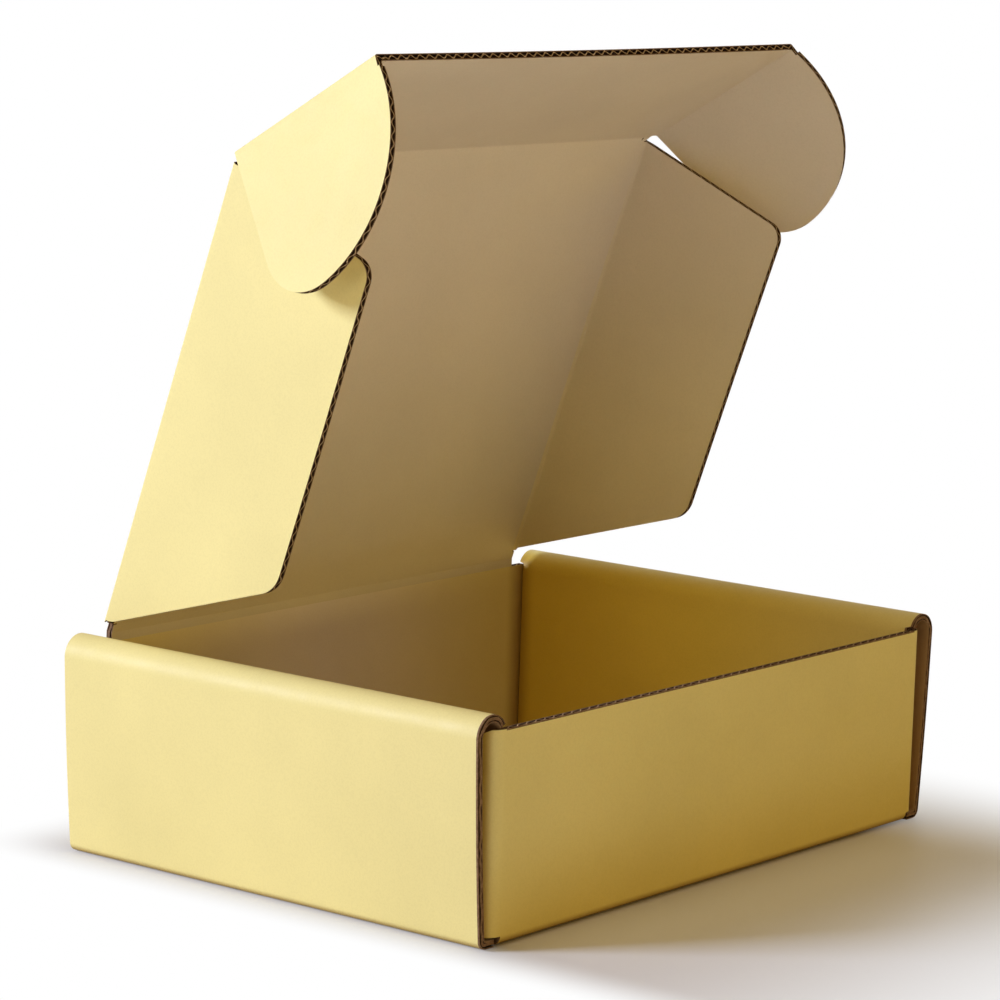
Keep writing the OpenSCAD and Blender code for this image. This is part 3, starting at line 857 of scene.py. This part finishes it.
def side_wall(side):
    """Rolled side wall with its two tabs and the floor's slots for them."""
    path = side_path()
    marks = [TAB_AT - slot_half, TAB_AT - TAB_L / 2, TAB_AT + TAB_L / 2, TAB_AT + slot_half]
    even = [k * SIDE_ROW for k in range(-SIDE_ROWS, SIDE_ROWS + 1)]
    even = [y for y in even if min(abs(abs(y) - m) for m in marks) > SIDE_CLEAR]
    ys = sorted(marks + [-m for m in marks] + even)
    rows = np.array([[-e, SIDE_END - e] + ys + [e - SIDE_END, e] for e in path[:, 4]])
    mid = np.zeros((*rows.shape, 3))
    mid[..., 0] = path[:, 0:1] * side
    mid[..., 1] = rows
    mid[..., 2] = path[:, 1:2]
    normal = np.zeros_like(mid)
    normal[..., 0] = path[:, 2:3] * side
    normal[..., 2] = path[:, 3:4]
    from_tab = abs(abs((rows[:-1, :-1] + rows[:-1, 1:]) / 2) - TAB_AT)
    cell_x = (path[:-1, 0] + path[1:, 0])[:, None] / 2
    cell_z = (path[:-1, 1] + path[1:, 1])[:, None] / 2
    outer = np.arange(len(path) - 1)[:, None] < len(path) // 2
    on_floor = outer & (cell_z < HALF + NEARLY)
    by_slot = on_floor & (cell_x > slot_in) & (cell_x < slot_out)
    by_tab = ~outer & (cell_z < tab_top)
    cut = (by_slot & (from_tab < slot_half)) | (by_tab & (from_tab > TAB_L / 2))
    board("side_wall_" + ("right" if side > 0 else "left"), *both_faces(mid, normal),
          {"j0": "torn", "j1": "torn"}, "tray", (rolled_print_and_shade, roll_inside_shade), cut=cut, seed=71,
          lean=SIDE_PRESS, worn=("j0",))


end_walls()
for s in (1, -1):
    side_wall(s)
    for e in (1, -1):
        upright_corner(s, e)
lid_panel()
hinge_fold()
side_flap(1, "right_side_flap")
side_flap(-1, "left_side_flap")
tuck_flap()
ear(1, "right_ear", RIGHT_EAR_FOLD, RIGHT_EAR_CURL)
ear(-1, "left_ear", LEFT_EAR_FOLD, LEFT_EAR_CURL)


# Camera, fitted to the photograph

AZIMUTH, ELEVATION, ROLL = (math.radians(a) for a in (51.8, 9.03, 1.79))
DISTANCE, TARGET = 0.992, Vector((-0.00734, 0, 0.0876))     # metres
LENS, SENSOR = 141.5, 36                                    # millimetres


def camera():
    """The camera, which looks from the front left corner and is tilted a little."""
    level = math.cos(ELEVATION)
    back = Vector((-math.sin(AZIMUTH) * level, -math.cos(AZIMUTH) * level,
                   math.sin(ELEVATION)))
    right = (-back).cross(Vector((0, 0, 1))).normalized()
    up = right.cross(-back)
    c, s = math.cos(ROLL), math.sin(ROLL)
    right, up = c * right + s * up, c * up - s * right
    data = bpy.data.cameras.new("camera")
    data.sensor_width = SENSOR
    data.lens = LENS
    data.clip_start, data.clip_end = 0.05, 50
    o = new_object("camera", data)
    o.matrix_world = Matrix((right, up, back)).transposed().to_4x4()
    o.location = TARGET + back * DISTANCE
    bpy.context.scene.camera = o


# Studio: places and sizes of lamps in metres, power in watts, spread in degrees

LAMPS = {
    "key": dict(place=(-1.1, 0.78, 0.62), aim=(0, 0, 0.06), size=(0.4, 0.4),
                power=16.2, colour=(0.87, 0.97, 1.3)),
    "side": dict(place=(-1.6, -0.25, 0.4), aim=(0, 0, 0.06), size=(0.5, 0.5),
                 power=2.5, colour=(1, 0.9, 0.66)),
    "top": dict(place=(0.3, -0.1, 1.7), aim=(0, 0, 0), size=(0.8, 0.8),
                power=2.6, colour=(1, 0.88, 0.66)),
    "fill": dict(place=(0.7, -1.7, 0.08), aim=(0, 0, 0.1), size=(1.5, 0.14),
                 power=4.8, colour=(1, 0.76, 0.25)),
    "floor_glow": dict(place=(-0.25, -0.62, 0.8), aim=(-0.25, -0.62, 0), size=(0.3, 0.3),
                       power=2.8, colour=(0.9, 0.98, 1.15), spread=45),
}
WORLD_TINT, WORLD_STRENGTH = (1, 0.66, 0.24), 0.23
TABLE_HALF = 6
TABLE_DROP = 0.0002
TABLE_FRONT = (0.81, 0.805, 0.8)        # colour before the box
TABLE_PAINTED_SHADOW = (0.70, 0.69, 0.675)        # painted shadow: darker beside, under and behind it
TABLE_SHADOW_EDGE = [("Y", -90, -64)]        # from the first to the second
TABLE_LIFT = 0.04                       # how much paler the camera sees it
TABLE_FROM_BOX = (0.76, 0.72, 0.62)     # its colour for all other rays
TABLE_NEAR = [("X", 148, 62), ("X", -108, -84), ("Y", 95, 60), ("Y", -220, -88)]


def lamp(name, place, aim, size, power, colour, spread=180):
    """A rectangular lamp at a place, turned to its aim."""
    data = bpy.data.lights.new(name, "AREA")
    data.spread = math.radians(spread)
    data.shape = "RECTANGLE"
    data.size, data.size_y = size
    data.energy = power
    data.color = colour
    o = new_object(name, data)
    o.location = place
    o.rotation_mode = "QUATERNION"
    o.rotation_quaternion = (Vector(aim) - Vector(place)).to_track_quat("-Z", "Y")


def studio():
    """The lamps, and a world that lights the box warmly and shows as plain white."""
    for name, values in LAMPS.items():
        lamp(name, **values)
    world = bpy.data.worlds.new("studio")
    world.use_nodes = True
    tree = world.node_tree
    warm = tree.nodes["Background"]
    warm.inputs["Color"].default_value = (*WORLD_TINT, 1)
    warm.inputs["Strength"].default_value = WORLD_STRENGTH
    white = add(tree, "ShaderNodeBackground", Color=(*WHITE, 1), Strength=1.0)
    path = tree.nodes.new("ShaderNodeLightPath")
    seen = path.outputs["Is Camera Ray"]
    for ray in ("Is Glossy Ray", "Is Transmission Ray"):
        seen = maths(tree, "MAXIMUM", seen, path.outputs[ray])
    tree.links.new(shaders(tree, seen, warm.outputs[0], white.outputs[0]),
                   tree.nodes["World Output"].inputs["Surface"])
    bpy.context.scene.world = world


def table():
    """Pale table: it takes the shadow near the box, and a painted shadow darkens it from just
    before the front wall back. The camera sees it fade to plain white further out."""
    mesh = bpy.data.meshes.new("table_top")
    h = TABLE_HALF
    mesh.from_pydata([(-h, -h, 0), (h, -h, 0), (h, h, 0), (-h, h, 0)], [], [(0, 1, 2, 3)])
    o = new_object("table_top", mesh)
    o.location = (0, 0, -TABLE_DROP)
    m, tree, shader = nodes_of("table_white")
    where = add(tree, "ShaderNodeTexCoord").outputs["Object"]
    camera_ray = tree.nodes.new("ShaderNodeLightPath").outputs["Is Camera Ray"]
    shade = colours(tree, share_over(tree, where, TABLE_SHADOW_EDGE), (*TABLE_FRONT, 1),
                    (*TABLE_PAINTED_SHADOW, 1), "MIX")
    tree.links.new(shade, shader.inputs["Base Color"])
    shader.inputs["Roughness"].default_value = 0.5
    shader.inputs["Specular IOR Level"].default_value = 0.1
    lift = add(tree, "ShaderNodeBsdfDiffuse", Color=(TABLE_LIFT, TABLE_LIFT, TABLE_LIFT, 1))
    paler = tree.nodes.new("ShaderNodeAddShader")
    tree.links.new(shader.outputs[0], paler.inputs[0])
    tree.links.new(lift.outputs[0], paler.inputs[1])
    from_box = add(tree, "ShaderNodeBsdfDiffuse", Color=(*TABLE_FROM_BOX, 1))
    near = shaders(tree, camera_ray, from_box.outputs[0], paler.outputs[0])
    white = add(tree, "ShaderNodeEmission", Color=(*WHITE, 1), Strength=1.0)
    far = maths(tree, "SUBTRACT", 1.0, share_over(tree, where, TABLE_NEAR))
    far = maths(tree, "MULTIPLY", far, camera_ray)
    tree.links.new(shaders(tree, far, near, white.outputs[0]),
                   tree.nodes["Material Output"].inputs["Surface"])
    mesh.materials.append(m)


camera()
studio()
table()
bpy.context.scene.view_settings.view_transform = "Standard"
